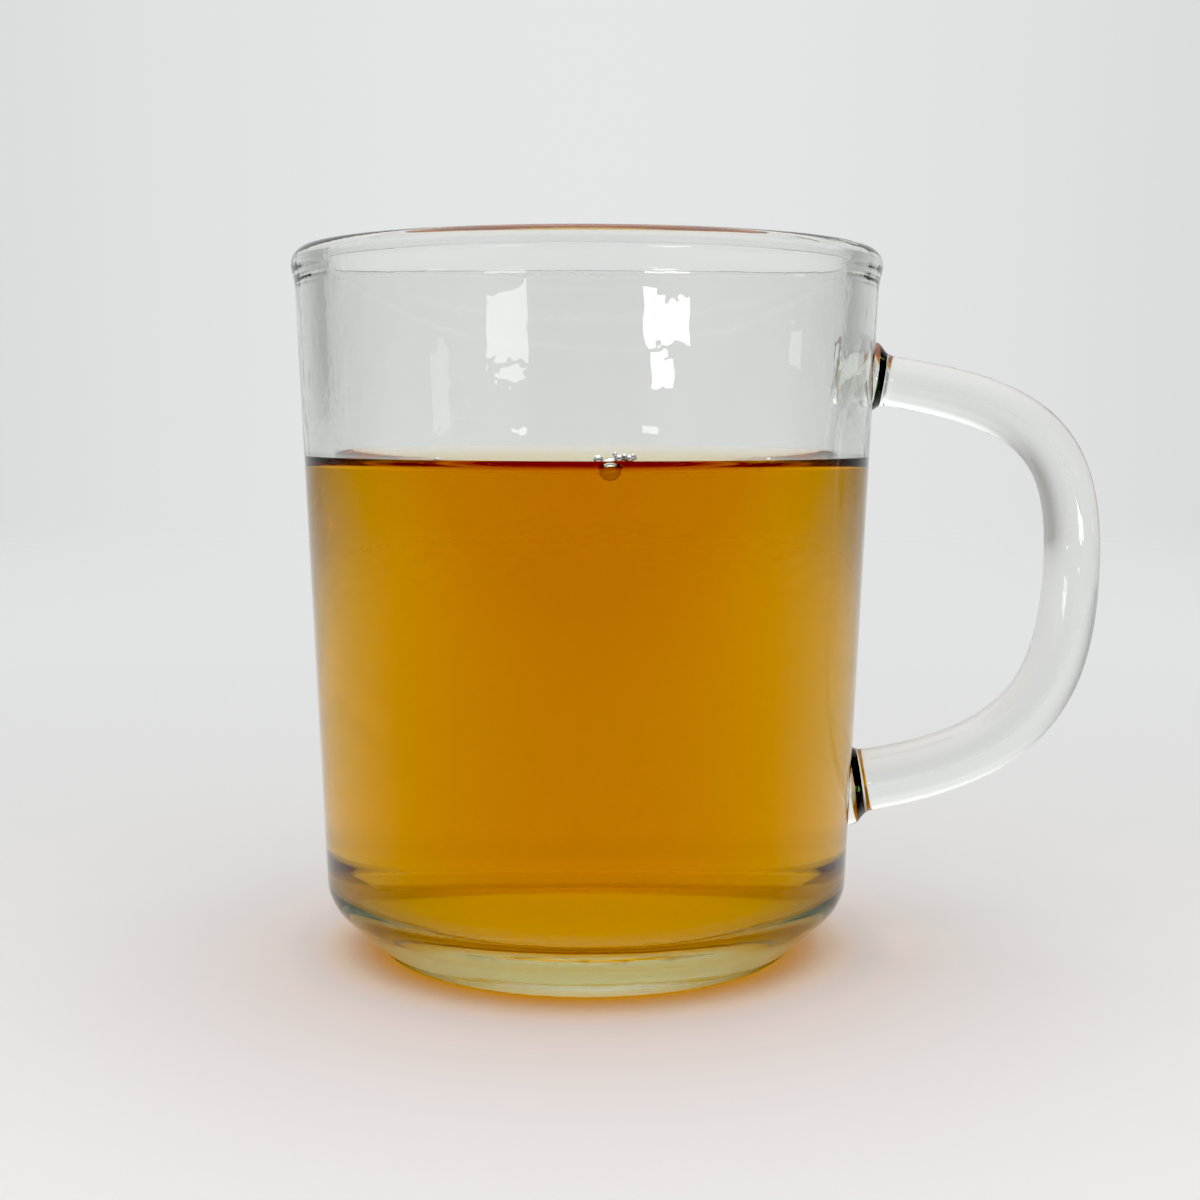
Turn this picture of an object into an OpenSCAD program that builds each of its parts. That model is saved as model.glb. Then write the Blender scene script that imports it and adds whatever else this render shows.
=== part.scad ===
// Glass mug of tea. A pressed glass mug with a side handle stands on its foot ring, and the tea fills it to about
// two thirds of its height. All sizes are in millimetres. The origin is the centre of the foot, the mug's axis is Z
// and the handle points along +X.

/* [Mug body] */
// Overall height of the mug
mug_h = 89.7; // [80:0.1:110]
// Outer radius of the lip
lip_r = 37.5; // [34:0.1:46]
// Rounding of the lip's outer edge
lip_out_r = 1.7; // [1.2:0.1:2]
// How far the lip stands out from the straight line of the wall
lip_proud = 0.35; // [0.1:0.05:0.8]
// Height from where the lip is widest up to the top of the mug
lip_tall = 2.7; // [2.5:0.1:5]
// Height over which the wall flares out to the lip
lip_flare_h = 1.6; // [1:0.1:5]
// Outer radius of the wall at the shoulder, before the shoulder is rounded
wall_low_r = 33.75; // [29:0.05:41]
// Glass thickness of the wall
wall_t = 3.65; // [3:0.05:5]
// Rounding of the shoulder
shoulder_r = 5.5; // [2:0.1:7]

/* [Base] */
// Thickness of the glass below the tea
base_t = 6.8; // [6:0.1:12]
// Rounding between the floor of the cup and its wall
inner_corner_r = 4; // [3:0.1:14]
// Outer radius of the foot, before its edge is rounded
foot_r = 26.5; // [22:0.1:28]
// Rounding of the foot's outer edge
foot_edge_r = 1.5; // [0.5:0.1:2.5]
// Height of the sloping flank between the foot and the shoulder
flank_h = 6.75; // [5:0.05:12]
// Width of the foot ring that the mug stands on
foot_ring_w = 4.5; // [3:0.1:12]
// Depth of the hollow
hollow_d = 0.9; // [0.4:0.1:2.5]
// Rounding along the hollow's edge
hollow_edge_r = 1.2; // [0.3:0.1:1.5]

/* [Handle] */
// Distance from the top of the lip down to the upper joint
grip_drop = 15.8; // [9:0.1:30]
// Height of the lower joint
grip_low_z = 20.6; // [17:0.1:32]
// Distance that the middle of the grip stands out past the lip, where it stands out most
grip_stand = 25.6; // [18:0.1:40]
// Distance from the upper joint down to that place
grip_out_drop = 22.9; // [12:0.1:34]
// Radius of the rod at the upper joint
rod_top_r = 3.15; // [2.4:0.05:4.2]
// Radius of the rod at the lower joint
rod_low_r = 4.1; // [2.8:0.05:5]
// Downward slope of the rod as it leaves the upper joint, in degrees
top_slope = 7.6; // [0:0.1:20]
// Upward slope of the rod as it leaves the lower joint, in degrees
low_slope = 6.8; // [0:0.1:20]
// How much the rod swells where it joins the wall
joint_swell = 1.5; // [0:0.1:2.5]
// How far the swelling spreads along the rod
joint_spread = 1.2; // [0.8:0.1:4]

/* [Tea] */
// Height of the tea's level surface
tea_level = 62.2; // [30:0.1:76]
// How far the tea climbs the wall
meniscus_h = 1.6; // [0.4:0.1:2.4]
// Distance over which the climb dies away
meniscus_w = 1.9; // [0.8:0.1:3]
// Clearance between the tea and the glass
tea_gap = 0.1; // [0.05:0.01:0.2]

/* [Hidden] */

// Steps along each rounded corner of an outline
corner_steps = 7;
// The handle's rings, and the corners of each ring
rod_rings = 64;
rod_sides = 24;
// Share of the wall that the ends of the handle reach into
root_share = 0.5;
// Pull of each end on the handle's curve, as a share of the width or height that its half spans: from the upper
// joint, up and down from the place that stands out most, and from the lower joint
pull_top = 0.758;
pull_up = 0.707;
pull_down = 0.605;
pull_low = 0.834;
// Steps along the meniscus, and how many spreads wide it is drawn
meniscus_steps = 8;
meniscus_spreads = 3;

lip_z = mug_h - (wall_t + lip_proud) / 2;
wall_top_r = lip_r - lip_proud;
hollow_r = foot_r - foot_ring_w;
wall_lean = (wall_top_r - wall_low_r) / (lip_z - flank_h);

// Outer and inner radius of the tapered wall at height z
function outer_r(z) = wall_low_r + (z - flank_h) * wall_lean;
function inner_r(z) = outer_r(z) - wall_t;

// Arc that rounds corner b of the path a-b-c with radius r, as points from the side of a to the side of c
function rounded(a, b, c, r) =
    let (
        u = (a - b) / norm(a - b),
        v = (c - b) / norm(c - b),
        half = acos(u * v) / 2,
        middle = b + (u + v) / norm(u + v) * r / sin(half),
        p = b + u * r / tan(half) - middle,
        q = b + v * r / tan(half) - middle
    )
    [for (i = [0:corner_steps]) let (s = p + (q - p) * i / corner_steps) middle + s * r / norm(s)];

// An outline from corners [radius, height, rounding]: the first and last stay sharp
function outline(corners) = [
    for (i = [0:len(corners) - 1])
        let (b = [corners[i][0], corners[i][1]])
        if (i == 0 || i == len(corners) - 1 || corners[i][2] == 0) b
        else each rounded([corners[i - 1][0], corners[i - 1][1]], b, [corners[i + 1][0], corners[i + 1][1]],
                          corners[i][2])
];

// The flare below the lip: where it starts and ends, how far it turns from the vertical, and what share of it the
// rounding at each end takes
flare_z = mug_h - lip_tall - lip_flare_h;
flare_way = [lip_r - outer_r(flare_z), lip_flare_h];
flare_turn = atan2(flare_way[0], flare_way[1]);
flare_low_r = 0.7 * norm(flare_way) / tan((flare_turn - atan(wall_lean)) / 2);
flare_top_r = 0.25 * norm(flare_way) / tan(flare_turn / 2);
lip_in_r = lip_r - inner_r(mug_h) - lip_out_r;

// The inside of the cup, drawn a gap away from the glass, from the axis along the floor and up the wall to height z
function inside(gap, z) = outline([
    [0, base_t + gap, 0],
    [inner_r(base_t + gap) - gap, base_t + gap, inner_corner_r - gap],
    [inner_r(z) - gap, z, 0]
]);

// The whole section of the cup, from the axis along the hollow and the foot, up the wall, over the lip and down the
// inside to the floor
function section() = outline([
    [0, hollow_d, 0],
    [hollow_r - hollow_d, hollow_d, hollow_edge_r],
    [hollow_r, 0, hollow_edge_r / 2],
    [foot_r, 0, foot_edge_r],
    [wall_low_r, flank_h, shoulder_r],
    [outer_r(flare_z), flare_z, flare_low_r],
    [lip_r, flare_z + lip_flare_h, flare_top_r],
    [lip_r, mug_h, lip_out_r],
    [inner_r(mug_h), mug_h, lip_in_r],
    [inner_r(base_t), base_t, inner_corner_r],
    [0, base_t, 0]
]);

// Cubic curve through its ends a and d, pulled towards b and c
function curve(a, b, c, d, t) =
    pow(1 - t, 3) * a + 3 * t * pow(1 - t, 2) * b + 3 * t * t * (1 - t) * c + pow(t, 3) * d;
function curve_way(a, b, c, d, t) =
    let (way = pow(1 - t, 2) * (b - a) + 2 * t * (1 - t) * (c - b) + t * t * (d - c)) way / norm(way);

// The middle line of the handle as [radius, height], from the upper joint at t = 0 to the lower one at t = 2
grip_top_z = mug_h - grip_drop;
grip_top = [outer_r(grip_top_z) - wall_t * root_share, grip_top_z];
grip_out = [lip_r + grip_stand, grip_top_z - grip_out_drop];
grip_low = [outer_r(grip_low_z) - wall_t * root_share, grip_low_z];
upper_half = [
    grip_top,
    grip_top + pull_top * (grip_out[0] - grip_top[0]) * [cos(top_slope), -sin(top_slope)],
    grip_out + [0, pull_up * (grip_top[1] - grip_out[1])],
    grip_out
];
lower_half = [
    grip_out,
    grip_out - [0, pull_down * (grip_out[1] - grip_low[1])],
    grip_low + pull_low * (grip_out[0] - grip_low[0]) * [cos(low_slope), sin(low_slope)],
    grip_low
];
function grip_half(t) = t < 1 ? upper_half : lower_half;
function grip_at(t) = let (h = grip_half(t)) curve(h[0], h[1], h[2], h[3], t < 1 ? t : t - 1);
function grip_way(t) = let (h = grip_half(t)) curve_way(h[0], h[1], h[2], h[3], t < 1 ? t : t - 1);

// Radius of the rod at p: it grows evenly towards the lower joint, and swells where it nears the wall
function rod_r(t, p) =
    rod_top_r + (rod_low_r - rod_top_r) * t / 2
    + joint_swell * exp(-pow(max(0, p[0] - outer_r(p[1])) / joint_spread, 2));

// One ring of the rod, square to its middle line
function rod_ring(t) =
    let (p = grip_at(t), way = grip_way(t), r = rod_r(t, p))
    [for (i = [0:rod_sides - 1])
        let (a = 360 * i / rod_sides, side = r * cos(a))
        [p[0] - side * way[1], r * sin(a), p[1] + side * way[0]]];

module handle() {
    points = [for (k = [0:rod_rings - 1]) each rod_ring(2 * k / (rod_rings - 1))];
    skin = [
        for (k = [0:rod_rings - 2], i = [0:rod_sides - 1])
            let (j = (i + 1) % rod_sides, low = k * rod_sides, high = low + rod_sides)
            each [[low + i, low + j, high + j], [low + i, high + j, high + i]]
    ];
    first_end = [[for (i = [rod_sides - 1:-1:0]) i]];
    last_end = [[for (i = [0:rod_sides - 1]) (rod_rings - 1) * rod_sides + i]];
    polyhedron(points, concat(skin, first_end, last_end), convexity = 4);
}

// The foot, base, wall and lip, turned round the axis
module cup() {
    rotate_extrude($fn = 128) polygon(section());
}

module mug() {
    color("azure", 0.35) union() {
        cup();
        handle();
    }
}

// The tea, with its surface curving up to the wall
module tea() {
    top_z = tea_level + meniscus_h;
    top_r = inner_r(top_z) - tea_gap;
    climb = [
        for (i = [0:meniscus_steps])
            let (d = meniscus_w * meniscus_spreads * pow(i / meniscus_steps, 1.5))
            [top_r - d, tea_level + meniscus_h * exp(-d / meniscus_w)]
    ];
    color("goldenrod", 0.85) rotate_extrude($fn = 128)
        polygon(concat(inside(tea_gap, top_z), [for (i = [1:meniscus_steps]) climb[i]], [[0, climb[meniscus_steps][1]]]));
}

mug();
tea();
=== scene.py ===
import math

import bpy
from mathutils import Matrix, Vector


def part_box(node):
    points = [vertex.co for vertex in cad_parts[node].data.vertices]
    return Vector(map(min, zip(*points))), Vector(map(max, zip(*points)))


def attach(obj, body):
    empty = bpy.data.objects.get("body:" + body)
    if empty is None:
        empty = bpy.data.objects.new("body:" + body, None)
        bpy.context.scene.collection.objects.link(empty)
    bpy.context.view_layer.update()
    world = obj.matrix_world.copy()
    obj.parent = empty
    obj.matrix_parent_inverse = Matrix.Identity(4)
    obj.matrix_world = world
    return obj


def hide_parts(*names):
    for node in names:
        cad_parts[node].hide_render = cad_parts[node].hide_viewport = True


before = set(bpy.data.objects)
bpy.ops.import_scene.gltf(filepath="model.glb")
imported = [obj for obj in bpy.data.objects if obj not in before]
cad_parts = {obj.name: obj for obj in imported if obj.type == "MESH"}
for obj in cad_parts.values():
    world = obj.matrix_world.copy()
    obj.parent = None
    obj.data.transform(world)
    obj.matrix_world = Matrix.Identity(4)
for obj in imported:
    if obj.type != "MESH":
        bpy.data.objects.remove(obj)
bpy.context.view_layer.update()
mugLow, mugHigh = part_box("mug")
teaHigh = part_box("tea")[1]
mm = 0.001          # a length times this is given in millimetres, every other one in metres
sharpAngle = 28     # edges that turn by more than this many degrees stay sharp
print("frame loaded")


# node tree helpers

def newTree(name, sockets):
    tree = bpy.data.node_groups.new(name, "GeometryNodeTree")
    tree.interface.new_socket("Geometry", in_out="INPUT", socket_type="NodeSocketGeometry")
    for label, kind in sockets.items():
        tree.interface.new_socket(label, in_out="INPUT", socket_type="NodeSocket" + kind)
    tree.interface.new_socket("Geometry", in_out="OUTPUT", socket_type="NodeSocketGeometry")
    entry = tree.nodes.new("NodeGroupInput")
    return tree, entry.outputs


def addNode(tree, kind, inputs=None, **settings):
    node = tree.nodes.new(kind)
    for key, value in settings.items():
        setattr(node, key, value)
    for key, value in (inputs or {}).items():
        if isinstance(value, bpy.types.NodeSocket):
            tree.links.new(value, node.inputs[key])
        else:
            node.inputs[key].default_value = value
    return node


def calc(tree, operation, a, b=0.0):
    return addNode(tree, "ShaderNodeMath", {0: a, 1: b}, operation=operation).outputs[0]


def blendOver(tree, value, start, end, low=0.0, high=1.0):
    # goes smoothly from low to high while the value goes from start to end
    return addNode(tree, "ShaderNodeMapRange",
                   {"Value": value, "From Min": start, "From Max": end, "To Min": low, "To Max": high},
                   interpolation_type="SMOOTHSTEP").outputs[0]


def nodePlace(tree):
    # Object coordinates, whole and as separate X, Y and Z
    coords = addNode(tree, "ShaderNodeTexCoord").outputs["Object"]
    return coords, addNode(tree, "ShaderNodeSeparateXYZ", {0: coords}).outputs


def pointPlace(tree):
    position = addNode(tree, "GeometryNodeInputPosition").outputs[0]
    return addNode(tree, "ShaderNodeSeparateXYZ", {0: position}).outputs


def endTree(tree, shape, material):
    real = addNode(tree, "GeometryNodeRealizeInstances", {0: shape})
    finish = addNode(tree, "GeometryNodeSetMaterial",
                     {"Geometry": real.outputs[0], "Material": material})
    leave = tree.nodes.new("NodeGroupOutput")
    tree.links.new(finish.outputs[0], leave.inputs[0])


def growMesh(name, source, tree, values):
    # runs the tree on the source and keeps the result as a plain mesh at the origin
    modifier = source.modifiers.new("grow", "NODES")
    modifier.node_group = tree
    ids = {s.name: s.identifier for s in tree.interface.items_tree if s.in_out == "INPUT"}
    for label, value in values.items():
        modifier[ids[label]] = value
    seen = source.evaluated_get(bpy.context.evaluated_depsgraph_get())
    mesh = bpy.data.meshes.new_from_object(seen)
    mesh.name = name
    for i in range(len(mesh.materials) - 1, -1, -1):
        if mesh.materials[i] is None:
            mesh.materials.pop(index=i)
    source.modifiers.remove(modifier)
    bpy.data.objects.remove(source)
    piece = bpy.data.objects.new(name, mesh)
    bpy.context.scene.collection.objects.link(piece)
    return piece


def outlineObject(name, corners):
    # an outline as a chain of edges: radius along X, height along -Y, and a rounding for each corner
    mesh = bpy.data.meshes.new(name)
    points = [(radius, -height, 0) for radius, height, rounding in corners]
    mesh.from_pydata(points, [(i, i + 1) for i in range(len(points) - 1)], [])
    rounding = mesh.attributes.new("rounding", "FLOAT", "POINT")
    rounding.data.foreach_set("value", [corner[2] for corner in corners])
    chain = bpy.data.objects.new(name, mesh)
    bpy.context.scene.collection.objects.link(chain)
    return chain


turnSet = {
    "hub": 10 * mm,     # radius of the circle that the outline is swept along
    "weld": 1e-6,       # points nearer than this are one point
}


def turnOutline(tree, outline, segments, steps):
    # rounds the corners of an outline and turns it round the Z axis
    hub = turnSet["hub"]
    line = addNode(tree, "GeometryNodeMeshToCurve", {"Mesh": outline})
    rounding = addNode(tree, "GeometryNodeInputNamedAttribute", {"Name": "rounding"}, data_type="FLOAT")
    soft = addNode(tree, "GeometryNodeFilletCurve",
                   {"Curve": line.outputs[0], "Radius": rounding.outputs[0], "Count": steps,
                    "Limit Radius": True}, mode="POLY")
    place = addNode(tree, "GeometryNodeSetPosition", {"Geometry": soft.outputs[0], "Offset": (-hub, 0, 0)})
    ring = addNode(tree, "GeometryNodeCurvePrimitiveCircle", {"Resolution": segments, "Radius": hub})
    upright = addNode(tree, "GeometryNodeSetCurveNormal", {0: ring.outputs[0]}, mode="Z_UP")
    skin = addNode(tree, "GeometryNodeCurveToMesh",
                   {"Curve": upright.outputs[0], "Profile Curve": place.outputs[0]})
    closed = addNode(tree, "GeometryNodeMergeByDistance",
                     {"Geometry": skin.outputs[0], "Distance": turnSet["weld"]})
    return addNode(tree, "GeometryNodeFlipFaces", {0: closed.outputs[0]}).outputs[0]


# sizes of the turned wall, shared by the glass, the tea and their materials

mugSet = {
    "lipProud": 0.35 * mm,                  # how far the lip stands out from the line of the wall
    "wallLow": 33.75 * mm,                  # radius of the wall at the shoulder
    "wallThick": 3.65 * mm,
    "lipOutRound": 2.2 * mm,
    "lipTall": 2.7 * mm,                    # from the widest place up to the top
    "flareHeight": 1.6 * mm,
    "flareRounds": (10.0 * mm, 3.0 * mm),   # at the bottom and the top of the flare
    "shoulderRound": 5.5 * mm,
    "baseThick": 6.8 * mm,
    "innerRound": 4.0 * mm,                 # where the floor of the cup meets its wall
    "footRadius": 26.5 * mm,
    "footRound": 1.5 * mm,
    "flankHeight": 6.75 * mm,               # from the foot up to the shoulder
    "hollowRadius": 22.0 * mm,
    "hollowDepth": 0.9 * mm,
    "hollowRound": 1.2 * mm,
    "segments": 256,
    "cornerSteps": 12,
}
lipRadius = -mugLow.x
lipHeight = mugHigh.z - (mugSet["wallThick"] + mugSet["lipProud"]) / 2
wallTop = lipRadius - mugSet["lipProud"]
wallLean = (wallTop - mugSet["wallLow"]) / (lipHeight - mugSet["flankHeight"])


def outerRadius(height):
    return mugSet["wallLow"] + (height - mugSet["flankHeight"]) * wallLean


def innerRadius(height):
    return outerRadius(height) - mugSet["wallThick"]


# materials

def newMaterial(name):
    material = bpy.data.materials.new(name)
    material.use_nodes = True
    tree = material.node_tree
    shader = tree.nodes["Principled BSDF"]
    return material, tree, shader, tree.nodes["Material Output"]


def objectNoise(tree, scale, detail=2.0, stretch=(1, 1, 1)):
    coords = addNode(tree, "ShaderNodeTexCoord").outputs["Object"]
    turned = addNode(tree, "ShaderNodeMapping", {"Vector": coords, "Scale": stretch}).outputs[0]
    noise = addNode(tree, "ShaderNodeTexNoise", {"Vector": turned, "Scale": scale, "Detail": detail})
    return noise.outputs[0]


def bumpNode(tree, height, distance, strength=1.0, under=None):
    # a bump of this height, laid over the one under it where there is one
    inputs = {"Height": height, "Distance": distance, "Strength": strength}
    if under is not None:
        inputs["Normal"] = under
    return addNode(tree, "ShaderNodeBump", inputs).outputs[0]


def fillVolume(tree, out, colour, density):
    # white light takes on this colour on its way through
    volume = addNode(tree, "ShaderNodeVolumeAbsorption", {"Color": colour, "Density": density})
    tree.links.new(volume.outputs[0], out.inputs["Volume"])


def clearShader(shader, ior):
    shader.inputs["Base Color"].default_value = (1, 1, 1, 1)
    shader.inputs["Roughness"].default_value = 0.0
    shader.inputs["IOR"].default_value = ior
    shader.inputs["Transmission Weight"].default_value = 1.0


glassSet = {
    "ior": 1.52,
    "tint": (0.36, 0.58, 0.22, 1),      # light that the glass lets through
    "tintDensity": 10.0,
    "footRough": 0.5,                   # the pressed underside is frosted
    "footTop": 1.3 * mm,
    "wetMirror": (0.05, 0.05, 0.05, 1),     # what the wet inside still mirrors
    "wetDrop": 0.1 * mm,                # the wet part ends this far below the tea's edge,
    "wetFloor": 0.6,                    # and starts at this share of the base's thickness
    "waveScale": 90.0,                  # slow waves, longer up the wall than round it
    "waveDetail": 1.0,
    "waveStretch": (1, 1, 0.35),
    "waveHeight": 0.00005,
    "rippleScale": 320.0,               # fine ripples, weaker where the tea stands behind the wall
    "rippleDetail": 2.0,
    "rippleStretch": (1, 1, 0.6),
    "rippleHeight": 0.00003,
    "rippleLow": 0.3,
    "rippleRise": 6 * mm,               # over this height above the tea they grow to their full strength
}


def wetTint(tree):
    # glass mirrors next to nothing where the tea wets it, so the inside below the tea's edge gets a dark tint
    place = nodePlace(tree)[1]
    flat = addNode(tree, "ShaderNodeCombineXYZ", {0: place["X"], 1: place["Y"]})
    radius = addNode(tree, "ShaderNodeVectorMath", {0: flat.outputs[0]}, operation="LENGTH").outputs["Value"]
    rise = calc(tree, "SUBTRACT", place["Z"], mugSet["flankHeight"])
    lowMiddle = mugSet["wallLow"] - mugSet["wallThick"] / 2
    middle = calc(tree, "ADD", calc(tree, "MULTIPLY", rise, wallLean), lowMiddle)
    within = calc(tree, "LESS_THAN", radius, middle)
    below = calc(tree, "LESS_THAN", place["Z"], teaHigh.z - glassSet["wetDrop"])
    above = calc(tree, "GREATER_THAN", place["Z"], mugSet["baseThick"] * glassSet["wetFloor"])
    wet = calc(tree, "MULTIPLY", calc(tree, "MULTIPLY", within, below), above)
    tone = addNode(tree, "ShaderNodeMix", {0: wet}, data_type="RGBA")
    tone.inputs[6].default_value = (1, 1, 1, 1)
    tone.inputs[7].default_value = glassSet["wetMirror"]
    return tone.outputs[2]


def clearGlass():
    material, tree, shader, out = newMaterial("clearGlass")
    s = glassSet
    clearShader(shader, s["ior"])
    waves = objectNoise(tree, s["waveScale"], s["waveDetail"], s["waveStretch"])
    wavy = bumpNode(tree, waves, s["waveHeight"])
    height = nodePlace(tree)[1]["Z"]
    aboveTea = blendOver(tree, height, teaHigh.z, teaHigh.z + s["rippleRise"], s["rippleLow"])
    ripples = objectNoise(tree, s["rippleScale"], s["rippleDetail"], s["rippleStretch"])
    ripples = calc(tree, "MULTIPLY", calc(tree, "SUBTRACT", ripples, 0.5), aboveTea)
    tree.links.new(bumpNode(tree, ripples, s["rippleHeight"], under=wavy), shader.inputs["Normal"])
    tree.links.new(wetTint(tree), shader.inputs["Specular Tint"])
    frost = calc(tree, "MULTIPLY", calc(tree, "LESS_THAN", height, s["footTop"]), s["footRough"])
    tree.links.new(frost, shader.inputs["Roughness"])
    fillVolume(tree, out, s["tint"], s["tintDensity"])
    return material


teaSet = {
    "ior": 1.333,
    "brew": (0.955, 0.811, 0.0, 1),     # light that the tea lets through
    "sheen": (0.42, 0.29, 0.13, 1),     # and what its surface mirrors
    "brewDensity": 110.0,
}


def amberTea():
    material, tree, shader, out = newMaterial("amberTea")
    clearShader(shader, teaSet["ior"])
    shader.inputs["Specular Tint"].default_value = teaSet["sheen"]
    fillVolume(tree, out, teaSet["brew"], teaSet["brewDensity"])
    return material


# the mug

def mugOutline():
    # radius, height and rounding of each corner, from under the base round to the floor of the cup
    s = mugSet
    widest = mugHigh.z - s["lipTall"]
    flare = widest - s["flareHeight"]
    lipInner = innerRadius(mugHigh.z)
    return [
        (0, s["hollowDepth"], 0),
        (s["hollowRadius"] - s["hollowDepth"], s["hollowDepth"], s["hollowRound"]),
        (s["hollowRadius"], mugLow.z, s["hollowRound"] / 2),
        (s["footRadius"], mugLow.z, s["footRound"]),
        (s["wallLow"], s["flankHeight"], s["shoulderRound"]),
        (outerRadius(flare), flare, s["flareRounds"][0]),
        (lipRadius, widest, s["flareRounds"][1]),
        (lipRadius, mugHigh.z, s["lipOutRound"]),
        (lipInner, mugHigh.z, lipRadius - lipInner - s["lipOutRound"]),
        (innerRadius(s["baseThick"]), s["baseThick"], s["innerRound"]),
        (0, s["baseThick"], 0),
    ]


handleSet = {
    "topDrop": 15.8 * mm,       # from the top of the mug down to the upper joint
    "lowHeight": 20.6 * mm,     # height of the lower joint
    "stand": 25.6 * mm,         # how far the middle of the grip stands out past the lip
    "outDrop": 22.9 * mm,       # from the upper joint down to that place
    "topRod": 3.15 * mm,        # radius of the rod at each joint
    "lowRod": 4.1 * mm,
    "topSlope": 7.6,            # degrees that the rod slopes as it leaves each joint
    "lowSlope": 6.8,
    "swell": 1.5 * mm,          # how much the rod grows where it meets the wall
    "spread": 1.2 * mm,
    "pulls": (0.758, 0.707, 0.605, 0.834),      # how full the curve is, from the upper joint to the lower
    "lineSteps": 200,
    "rings": 220,
    "sides": 40,
}


def handleLine():
    # the middle line of the handle, from the upper joint to the lower one
    s = handleSet
    root = mugSet["wallThick"] / 2
    topHeight = mugHigh.z - s["topDrop"]
    top = (outerRadius(topHeight) - root, topHeight)
    out = (lipRadius + s["stand"], topHeight - s["outDrop"])
    low = (outerRadius(s["lowHeight"]) - root, s["lowHeight"])
    topPull = s["pulls"][0] * (out[0] - top[0])
    lowPull = s["pulls"][3] * (out[0] - low[0])
    topTurn = math.radians(s["topSlope"])
    lowTurn = math.radians(s["lowSlope"])
    line = bpy.data.curves.new("handleLine", "CURVE")
    line.dimensions = "3D"
    line.resolution_u = s["lineSteps"]
    spline = line.splines.new("BEZIER")
    spline.bezier_points.add(2)
    knots = [
        (top, top, (top[0] + topPull * math.cos(topTurn), top[1] - topPull * math.sin(topTurn))),
        (out, (out[0], out[1] + s["pulls"][1] * (top[1] - out[1])),
         (out[0], out[1] - s["pulls"][2] * (out[1] - low[1]))),
        (low, (low[0] + lowPull * math.cos(lowTurn), low[1] + lowPull * math.sin(lowTurn)), low),
    ]
    for point, (here, before, after) in zip(spline.bezier_points, knots):
        point.handle_left_type = "FREE"
        point.handle_right_type = "FREE"
        point.co = (here[0], 0, here[1])
        point.handle_left = (before[0], 0, before[1])
        point.handle_right = (after[0], 0, after[1])
    holder = bpy.data.objects.new("handleLine", line)
    bpy.context.scene.collection.objects.link(holder)
    return holder


def makeMug(material):
    tree, inputs = newTree("turnedMug", {
        "Segments": "Int", "Corner Steps": "Int", "Handle Line": "Object", "Handle Rings": "Int",
        "Handle Sides": "Int", "Top Rod": "Float", "Low Rod": "Float", "Swell": "Float", "Spread": "Float",
        "Wall Low": "Float", "Wall Lean": "Float", "Flank Height": "Float", "Material": "Material",
    })
    cup = turnOutline(tree, inputs["Geometry"], inputs["Segments"], inputs["Corner Steps"])
    line = addNode(tree, "GeometryNodeObjectInfo", {"Object": inputs["Handle Line"]}).outputs["Geometry"]
    rings = addNode(tree, "GeometryNodeResampleCurve", {"Curve": line, "Count": inputs["Handle Rings"]})
    along = addNode(tree, "GeometryNodeSplineParameter").outputs["Factor"]
    place = pointPlace(tree)
    rise = calc(tree, "SUBTRACT", place["Z"], inputs["Flank Height"])
    wall = calc(tree, "ADD", inputs["Wall Low"], calc(tree, "MULTIPLY", rise, inputs["Wall Lean"]))
    gap = calc(tree, "MAXIMUM", calc(tree, "SUBTRACT", place["X"], wall), 0.0)
    share = calc(tree, "POWER", calc(tree, "DIVIDE", gap, inputs["Spread"]), 2.0)
    fall = calc(tree, "EXPONENT", calc(tree, "MULTIPLY", share, -1.0))
    extra = calc(tree, "MULTIPLY", inputs["Swell"], fall)
    growth = calc(tree, "SUBTRACT", inputs["Low Rod"], inputs["Top Rod"])
    rod = calc(tree, "ADD", inputs["Top Rod"], calc(tree, "MULTIPLY", growth, along))
    radius = calc(tree, "ADD", rod, extra)
    sized = addNode(tree, "GeometryNodeSetCurveRadius", {"Curve": rings.outputs[0], "Radius": radius})
    section = addNode(tree, "GeometryNodeCurvePrimitiveCircle",
                      {"Resolution": inputs["Handle Sides"], "Radius": 1.0})
    tube = addNode(tree, "GeometryNodeCurveToMesh",
                   {"Curve": sized.outputs[0], "Profile Curve": section.outputs[0],
                    "Scale": radius, "Fill Caps": True})
    fused = tree.nodes.new("GeometryNodeMeshBoolean")
    fused.operation = "UNION"
    fused.solver = "EXACT"
    tree.links.new(tube.outputs[0], fused.inputs["Mesh 2"])
    tree.links.new(cup, fused.inputs["Mesh 2"])
    endTree(tree, fused.outputs[0], inputs["Material"])
    holder = handleLine()
    s = handleSet
    values = {
        "Segments": mugSet["segments"],
        "Corner Steps": mugSet["cornerSteps"],
        "Handle Line": holder,
        "Handle Rings": s["rings"],
        "Handle Sides": s["sides"],
        "Top Rod": s["topRod"],
        "Low Rod": s["lowRod"],
        "Swell": s["swell"],
        "Spread": s["spread"],
        "Wall Low": mugSet["wallLow"],
        "Wall Lean": wallLean,
        "Flank Height": mugSet["flankHeight"],
        "Material": material,
    }
    piece = growMesh("glassMug", outlineObject("mugOutline", mugOutline()), tree, values)
    bpy.data.objects.remove(holder)
    return piece


# the tea

brewSet = {
    "intoGlass": 0.04 * mm,     # the tea reaches this far into the glass, so that no air lies between them
    "climb": 1.6 * mm,          # how far its edge climbs the wall
    "climbWidth": 1.9 * mm,     # distance over which the climb dies away
    "climbReach": 4.5,          # how many of those widths are drawn
    "climbCrowd": 1.6,          # how much the steps crowd towards the wall
    "climbSteps": 24,
}


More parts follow.
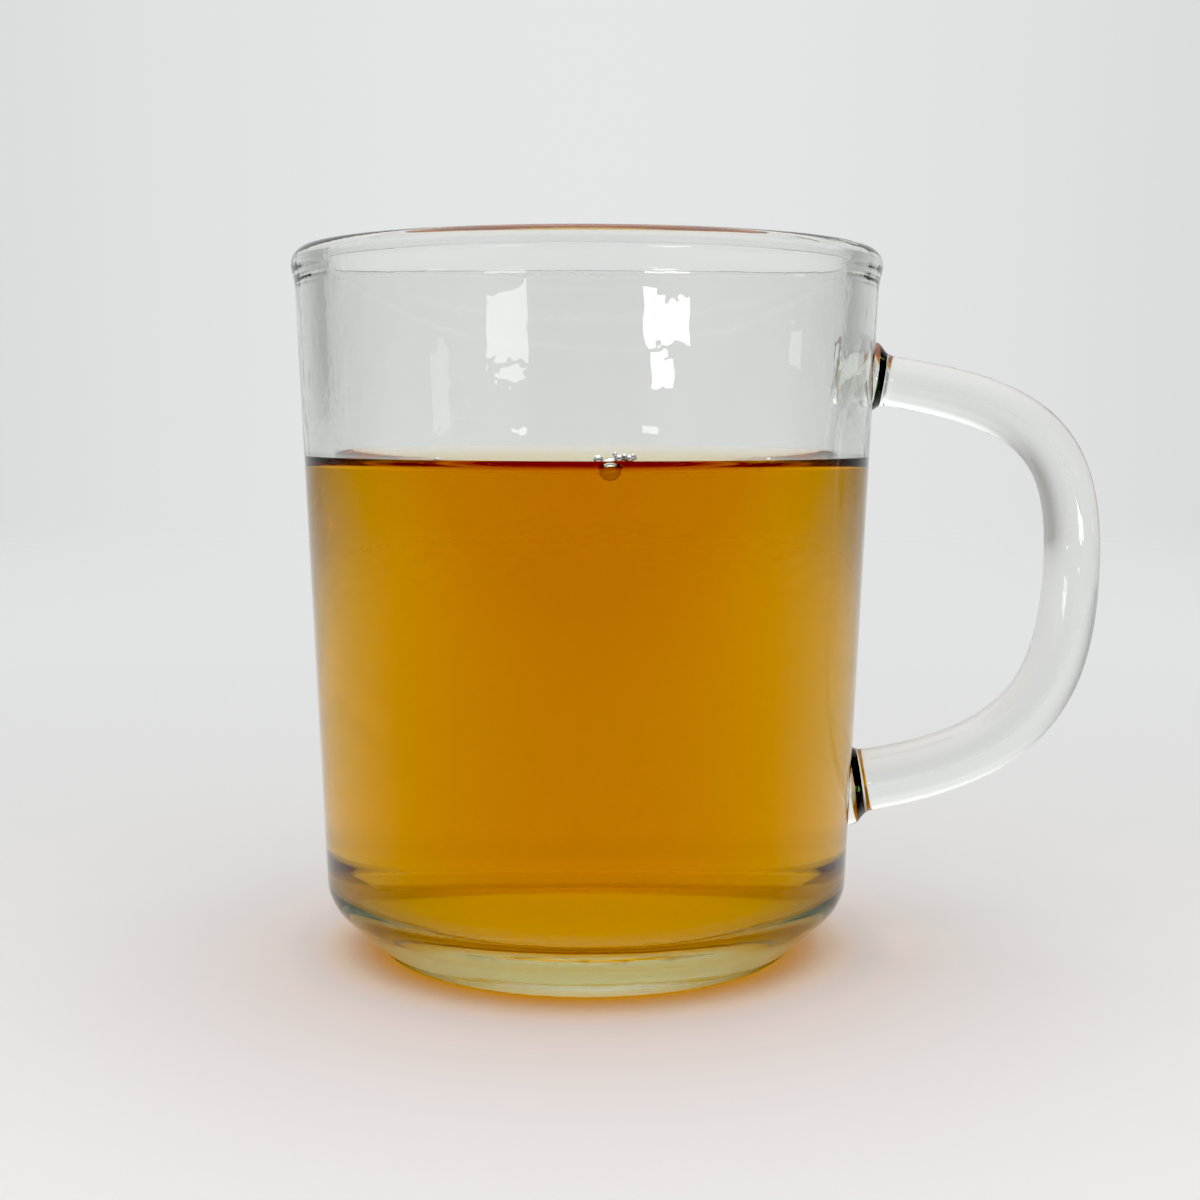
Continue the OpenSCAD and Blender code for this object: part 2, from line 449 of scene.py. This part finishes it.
def teaOutline():
    # radius, height and rounding of each corner, along the floor, up the wall and in over the surface
    s = brewSet
    grow = s["intoGlass"]
    floor = mugSet["baseThick"] - grow
    top = teaHigh.z
    edge = innerRadius(top) + grow
    level = top - s["climb"]
    corners = [
        (0, floor, 0),
        (innerRadius(floor) + grow, floor, mugSet["innerRound"] + grow),
        (edge, top, 0),
    ]
    for i in range(s["climbSteps"] + 1):
        inward = s["climbWidth"] * s["climbReach"] * (i / s["climbSteps"]) ** s["climbCrowd"]
        corners.append((edge - grow - inward, level + s["climb"] * math.exp(-inward / s["climbWidth"]), 0))
    corners.append((0, corners[-1][1], 0))
    return corners


def makeTea(material):
    tree, inputs = newTree("turnedTea", {"Segments": "Int", "Corner Steps": "Int", "Material": "Material"})
    body = turnOutline(tree, inputs["Geometry"], inputs["Segments"], inputs["Corner Steps"])
    endTree(tree, body, inputs["Material"])
    values = {"Segments": mugSet["segments"], "Corner Steps": mugSet["cornerSteps"], "Material": material}
    return growMesh("brewedTea", outlineObject("teaOutline", teaOutline()), tree, values)


# the bubbles along the tea's edge

bubbleSet = {
    "film": 0.10,                   # share of a bubble's radius that its wet skin takes
    "facets": 4,
    "ior": 1.40,
    "rim": (0.60, 0.50, 0.32, 1),   # light that the wet skin lets through
    "rimDensity": 2500.0,
    "swirlScale": 900.0,
    "swirlHeight": 0.00001,
    "swirlStrength": 0.5,
    "capRise": 0.95 * mm,           # above this height over the tea a bubble's skin is a white mirror, a painted highlight for the glints on its top
    "capScale": 1400.0,
    "capTones": [                   # where each tone of the patches on the cap's painted highlight stands, and the tone
        (0.35, (0.45, 0.42, 0.38, 1)),
        (0.55, (1.0, 1.0, 1.0, 1)),
    ],
    "capRough": 0.08,
    "capMetal": 0.85,
    "standOff": 0.15,               # mm more that every bubble stands in from the glass
    # degrees round the axis from the front, then in mm: distance in from the glass, rise over the tea, radius
    "spots": [
        (4.6, 1.40, 0.65, 1.30),
        (2.2, 0.62, 1.75, 0.55),
        (6.2, 0.62, 1.85, 0.50),
        (7.3, 0.55, 2.00, 0.45),
        (8.2, 0.50, 1.85, 0.48),
        (9.0, 0.45, 2.05, 0.40),
        (5.4, 0.40, 2.35, 0.28),
        (8.6, 0.85, 1.45, 0.32),
        (39.0, 0.40, 1.55, 0.32),
        (36.0, 0.50, 0.60, 0.22),
        (-31.0, 0.42, 1.60, 0.28),
    ],
}


def bubbleSpots():
    level = teaHigh.z - brewSet["climb"]
    mesh = bpy.data.meshes.new("bubbleSpots")
    points = []
    sizes = []
    for turn, inward, rise, radius in bubbleSet["spots"]:
        height = level + rise * mm
        reach = innerRadius(height) - (inward + bubbleSet["standOff"]) * mm
        a = math.radians(turn)
        points.append((reach * math.sin(a), -reach * math.cos(a), height))
        sizes.append(radius * mm)
    mesh.from_pydata(points, [], [])
    mesh.attributes.new("size", "FLOAT", "POINT").data.foreach_set("value", sizes)
    holder = bpy.data.objects.new("bubbleSpots", mesh)
    bpy.context.scene.collection.objects.link(holder)
    return holder


def makeBubbles(material, capMaterial):
    tree, inputs = newTree("wetBubbles", {
        "Facets": "Int", "Film": "Float", "Material": "Material", "Cap Height": "Float",
        "Cap Material": "Material",
    })
    skin = addNode(tree, "GeometryNodeMeshIcoSphere", {"Radius": 1.0, "Subdivisions": inputs["Facets"]})
    within = calc(tree, "SUBTRACT", 1.0, inputs["Film"])
    sizeIn = addNode(tree, "ShaderNodeCombineXYZ", {0: within, 1: within, 2: within})
    hollow = addNode(tree, "GeometryNodeTransform",
                     {"Geometry": skin.outputs["Mesh"], "Scale": sizeIn.outputs[0]})
    turned = addNode(tree, "GeometryNodeFlipFaces", {0: hollow.outputs[0]})
    shell = tree.nodes.new("GeometryNodeJoinGeometry")
    tree.links.new(skin.outputs["Mesh"], shell.inputs[0])
    tree.links.new(turned.outputs[0], shell.inputs[0])
    size = addNode(tree, "GeometryNodeInputNamedAttribute", {"Name": "size"}, data_type="FLOAT")
    spread = addNode(tree, "GeometryNodeInstanceOnPoints",
                     {"Points": inputs["Geometry"], "Instance": shell.outputs[0], "Scale": size.outputs[0]})
    real = addNode(tree, "GeometryNodeRealizeInstances", {0: spread.outputs[0]})
    wet = addNode(tree, "GeometryNodeSetMaterial",
                  {"Geometry": real.outputs[0], "Material": inputs["Material"]})
    # the top of each bubble gets the white mirror skin: a painted highlight
    aboveTea = calc(tree, "GREATER_THAN", pointPlace(tree)["Z"], inputs["Cap Height"])
    caps = addNode(tree, "GeometryNodeSetMaterial",
                   {"Geometry": wet.outputs[0], "Selection": aboveTea, "Material": inputs["Cap Material"]})
    leave = tree.nodes.new("NodeGroupOutput")
    tree.links.new(caps.outputs[0], leave.inputs[0])
    values = {
        "Facets": bubbleSet["facets"],
        "Film": bubbleSet["film"],
        "Material": material,
        "Cap Material": capMaterial,
        "Cap Height": teaHigh.z - brewSet["climb"] + bubbleSet["capRise"],
    }
    return growMesh("bubbles", bubbleSpots(), tree, values)


def wetSkin():
    material, tree, shader, out = newMaterial("wetSkin")
    s = bubbleSet
    clearShader(shader, s["ior"])
    fillVolume(tree, out, s["rim"], s["rimDensity"])
    swirl = objectNoise(tree, s["swirlScale"])
    tree.links.new(bumpNode(tree, swirl, s["swirlHeight"], s["swirlStrength"]), shader.inputs["Normal"])
    return material


def setStops(ramp, stops):
    # places and colours of a new ramp, which has two stops to begin with
    for i, (place, tone) in enumerate(stops):
        stop = ramp.elements[i] if i < 2 else ramp.elements.new(place)
        stop.position = place
        stop.color = tone


def paintedHighlightCap():
    # a white, nearly mirror-like skin with grey patches: a painted highlight for the glints on a bubble's top
    material, tree, shader, out = newMaterial("paintedHighlightCap")
    patches = objectNoise(tree, bubbleSet["capScale"])
    tones = addNode(tree, "ShaderNodeValToRGB", {0: patches})
    setStops(tones.color_ramp, bubbleSet["capTones"])
    tree.links.new(tones.outputs[0], shader.inputs["Base Color"])
    shader.inputs["Roughness"].default_value = bubbleSet["capRough"]
    shader.inputs["Metallic"].default_value = bubbleSet["capMetal"]
    return material


def smoothSides(piece):
    piece.data.shade_smooth()
    piece.data.set_sharp_from_angle(angle=math.radians(sharpAngle))


glassMug = makeMug(clearGlass())
smoothSides(glassMug)
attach(glassMug, "root")
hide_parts("mug")
print("mug:", len(glassMug.data.polygons), "faces")

brewedTea = makeTea(amberTea())
smoothSides(brewedTea)
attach(brewedTea, "root")
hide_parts("tea")
print("tea:", len(brewedTea.data.polygons), "faces")

bubbles = makeBubbles(wetSkin(), paintedHighlightCap())
smoothSides(bubbles)
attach(bubbles, "root")
print("bubbles:", len(bubbles.data.polygons), "faces")


# floor, surroundings and lights

floorSet = {
    "drop": 0.08 * mm,          # a thread of air below the foot
    "radius": 3.0,
    "sides": 64,
    "fadeFrom": 0.3,            # from here to there the floor melts into the backdrop
    "fadeTo": 1.1,
    "tones": [                  # distance towards the back in metres, and the tone there: the pale paper with a painted pool of light just in front of the mug, and darker further towards the camera
        (-0.30, (0.45, 0.44, 0.43, 1)),
        (-0.11, (0.935, 0.915, 0.925, 1)),
        (0.08, (0.80, 0.795, 0.795, 1)),
        (0.35, (0.82, 0.82, 0.82, 1)),
    ],
    "footShade": (0.36, 0.25, 0.10, 1),     # the floor right below the foot, with the tea's tinted shadow painted on
    "shadeFrom": 24.0 * mm,
    "shadeTo": 27.0 * mm,
    "grainScale": 35.0,
    "grainDetail": 4.0,
    "grainDepth": 0.02,
    "rough": 0.9,
    "gloss": 0.1,
}


def paleFloor():
    material, tree, shader, out = newMaterial("palePaper")
    s = floorSet
    coords, place = nodePlace(tree)
    grain = calc(tree, "SUBTRACT", objectNoise(tree, s["grainScale"], s["grainDetail"]), 0.5)
    depth = calc(tree, "ADD", place["Y"], calc(tree, "MULTIPLY", grain, s["grainDepth"]))
    halfway = 0.5       # a ramp goes from 0 to 1, so the mug's own place is put halfway
    # the ramp paints light along the floor: brightest just in front of the mug, nearly even behind it, darker
    # further towards the camera
    paper = addNode(tree, "ShaderNodeValToRGB", {0: calc(tree, "ADD", depth, halfway)})
    paper.color_ramp.interpolation = "EASE"
    setStops(paper.color_ramp, [(reach + halfway, tone) for reach, tone in s["tones"]])
    away = addNode(tree, "ShaderNodeVectorMath", {0: coords}, operation="LENGTH").outputs["Value"]
    # painted shadow: the floor under the foot takes the tea's tinted shade, fading out just past the foot
    beside = blendOver(tree, away, s["shadeFrom"], s["shadeTo"])
    shade = addNode(tree, "ShaderNodeMix", {0: beside, 6: s["footShade"], 7: paper.outputs[0]},
                    data_type="RGBA")
    tree.links.new(shade.outputs[2], shader.inputs["Base Color"])
    shader.inputs["Roughness"].default_value = s["rough"]
    shader.inputs["Specular IOR Level"].default_value = s["gloss"]
    fade = blendOver(tree, away, s["fadeFrom"], s["fadeTo"])
    clear = addNode(tree, "ShaderNodeBsdfTransparent")
    mixed = addNode(tree, "ShaderNodeMixShader", {0: fade, 1: shader.outputs[0], 2: clear.outputs[0]})
    tree.links.new(mixed.outputs[0], out.inputs["Surface"])
    return material


def makeFloor():
    mesh = bpy.data.meshes.new("floor")
    r = floorSet["radius"]
    z = -floorSet["drop"]
    sides = floorSet["sides"]
    turns = [2 * math.pi * i / sides for i in range(sides)]
    mesh.from_pydata([(r * math.cos(a), r * math.sin(a), z) for a in turns], [], [list(range(sides))])
    mesh.materials.append(paleFloor())
    floor = bpy.data.objects.new("floor", mesh)
    bpy.context.scene.collection.objects.link(floor)
    return floor


# Brightness of the surroundings. Each pair of ends is measured on the direction's own Y, towards the back,
# or Z, upwards, and the brightness changes smoothly from the first to the second.
roomSet = {
    "colour": (0.992, 1.0, 1.0, 1),
    "paper": 0.80,              # the backdrop
    "paperEnds": (-0.35, 0.45),
    "sideFall": 0.95,           # how much the backdrop darkens towards its sides
    "sideMost": 0.45,
    "room": 0.30,               # the room on the camera's side
    "roomMiddle": 0.06,
    "middleEnds": (-0.75, -0.95),
    "ceiling": 1.52,
    "ceilingEnds": (0.5, 0.95),
    "backGlow": 0.1,            # added high up over the backdrop
    "glowBackEnds": (0.15, 0.65),
    "glowUpEnds": (0.24, 0.45),
}


def makeWorld():
    world = bpy.data.worlds.new("studio")
    world.use_nodes = True
    bpy.context.scene.world = world
    tree = world.node_tree
    backing = tree.nodes["Background"]
    s = roomSet
    coords = addNode(tree, "ShaderNodeTexCoord").outputs["Generated"]
    way = addNode(tree, "ShaderNodeSeparateXYZ", {0: coords}).outputs
    sideways = calc(tree, "MULTIPLY", calc(tree, "POWER", way["X"], 2.0), s["sideFall"])
    sideways = calc(tree, "MINIMUM", sideways, s["sideMost"])
    wall = calc(tree, "MULTIPLY", calc(tree, "SUBTRACT", 1.0, sideways), s["paper"])
    ahead = blendOver(tree, way["Y"], *s["middleEnds"])
    room = addNode(tree, "ShaderNodeMix", {0: ahead, 2: s["room"], 3: s["roomMiddle"]}).outputs[0]
    behind = blendOver(tree, way["Y"], *s["paperEnds"])
    level = addNode(tree, "ShaderNodeMix", {0: behind, 2: room, 3: wall}).outputs[0]
    up = blendOver(tree, way["Z"], *s["ceilingEnds"])
    plain = addNode(tree, "ShaderNodeMix", {0: up, 2: level, 3: s["ceiling"]}).outputs[0]
    overBack = blendOver(tree, way["Y"], *s["glowBackEnds"])
    glowUp = blendOver(tree, way["Z"], *s["glowUpEnds"])
    glow = calc(tree, "MULTIPLY", calc(tree, "MULTIPLY", overBack, glowUp), s["backGlow"])
    tree.links.new(calc(tree, "ADD", plain, glow), backing.inputs["Strength"])
    backing.inputs["Color"].default_value = s["colour"]


# name, degrees round from the front, degrees up, distance in metres, width and height in metres, brightness
windowSet = [
    ("windowLeft", -29.5, -0.6, 1.0, (0.27, 0.045), 4.0),
    ("windowRight", 29.5, -0.37, 1.0, (0.30, 0.034), 9.0),
    ("paneLeft", -28.0, -0.65, 0.5, (0.10, 0.003), 4.0),
    ("paneRight", 27.5, -0.62, 0.5, (0.07, 0.0135), 8.0),
    ("sillLeft", -25.5, -2.94, 0.5, (0.05, 0.003), 5.0),
    ("sillRight", 23.3, -2.94, 0.5, (0.05, 0.003), 5.0),
    ("sideLeft", -56.0, -0.7, 0.5, (0.06, 0.03), 1.2),
    ("sideRight", 84.0, 1.9, 0.5, (0.05, 0.017), 1.5),
]


def areaLight(name, turn, lift, away, size, power, aim):
    data = bpy.data.lights.new(name, "AREA")
    data.shape = "RECTANGLE"
    data.size, data.size_y = size
    data.energy = power * size[0] * size[1] * math.pi
    light = bpy.data.objects.new(name, data)
    light.visible_transmission = False      # only the near side of the glass mirrors the windows
    light.visible_camera = False
    place = aim + away * Matrix.Rotation(math.radians(turn), 3, "Z").col[1] * -1
    place.z = aim.z + away * math.tan(math.radians(lift))
    light.location = place
    light.rotation_euler = (aim - place).to_track_quat("-Z", "Y").to_euler()
    bpy.context.scene.collection.objects.link(light)


def makeStudio():
    makeFloor()
    makeWorld()
    middle = (mugLow + mugHigh) / 2
    middle.x = 0        # the mug's own axis, without the handle
    for name, turn, lift, away, size, power in windowSet:
        areaLight(name, turn, lift, away, size, power, middle)


cameraSet = {
    "place": (0, -245 * mm, 69.1 * mm),
    "down": 5.65,       # degrees
    "turn": 0.40,
    "roll": 0.11,
    "lens": 56.7,
    "sensor": 36,
    "nearest": 0.01,
}


def makeCamera():
    data = bpy.data.cameras.new("camera")
    data.lens = cameraSet["lens"]
    data.sensor_width = cameraSet["sensor"]
    data.clip_start = cameraSet["nearest"]
    camera = bpy.data.objects.new("camera", data)
    turn = Matrix.Rotation(math.radians(-cameraSet["turn"]), 4, "Z")
    tilt = Matrix.Rotation(math.radians(90 - cameraSet["down"]), 4, "X")
    roll = Matrix.Rotation(math.radians(cameraSet["roll"]), 4, "Z")
    camera.matrix_world = Matrix.Translation(cameraSet["place"]) @ turn @ tilt @ roll
    bpy.context.scene.collection.objects.link(camera)
    bpy.context.scene.camera = camera


lookSet = {
    "blackLevel": 0.055,
    "bounces": 24,
    "glossyBounces": 12,
    "diffuseBounces": 4,
    "clearBounces": 12,
}


def setLook():
    scene = bpy.context.scene
    view = scene.view_settings
    view.view_transform = "Standard"
    view.use_curve_mapping = True
    view.curve_mapping.black_level = (lookSet["blackLevel"],) * 3
    view.curve_mapping.update()
    scene.cycles.max_bounces = lookSet["bounces"]
    scene.cycles.transmission_bounces = lookSet["bounces"]
    scene.cycles.glossy_bounces = lookSet["glossyBounces"]
    scene.cycles.diffuse_bounces = lookSet["diffuseBounces"]
    scene.cycles.transparent_max_bounces = lookSet["clearBounces"]
    scene.cycles.blur_glossy = 0.0


makeCamera()
makeStudio()
setLook()
print("studio ready")
